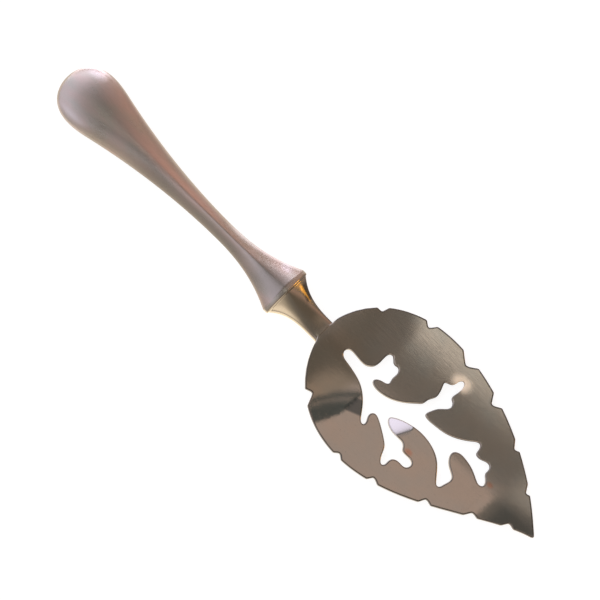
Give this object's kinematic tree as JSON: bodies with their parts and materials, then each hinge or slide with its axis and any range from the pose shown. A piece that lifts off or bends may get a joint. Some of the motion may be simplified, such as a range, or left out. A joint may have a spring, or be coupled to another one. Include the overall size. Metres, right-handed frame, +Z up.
{
  "type": "absinthe spoon",
  "caption": "Slotted absinthe spoon: hollow satin handle, polished bolster and a pierced leaf-shaped blade that lies across a glass and holds sugar over it.",
  "frame": {"origin": "centre of the bounding box in X and Y, on the surface that the spoon lies on", "axes": "+X from the round end of the handle to the tip of the leaf, +Z up out of the face of the leaf, +Y to the right seen from above with the handle at the top"},
  "size_m": [0.17, 0.0432, 0.0085],
  "materials": {
    "satin_handle": "satin silver plate, warm grey",
    "handle_cement": "dark matte cutler's cement",
    "polished_bolster": "polished silver plate with a warm cast",
    "brushed_leaf": "silver plate with fine brush lines along the length, near mirror on one half"
  },
  "bodies": {
    "root": {"handle_front_shell": "satin_handle", "handle_back_shell": "satin_handle", "handle_filling": "handle_cement", "bolster_and_tang": "polished_bolster", "leaf_blade": "brushed_leaf"}
  },
  "joints": []
}
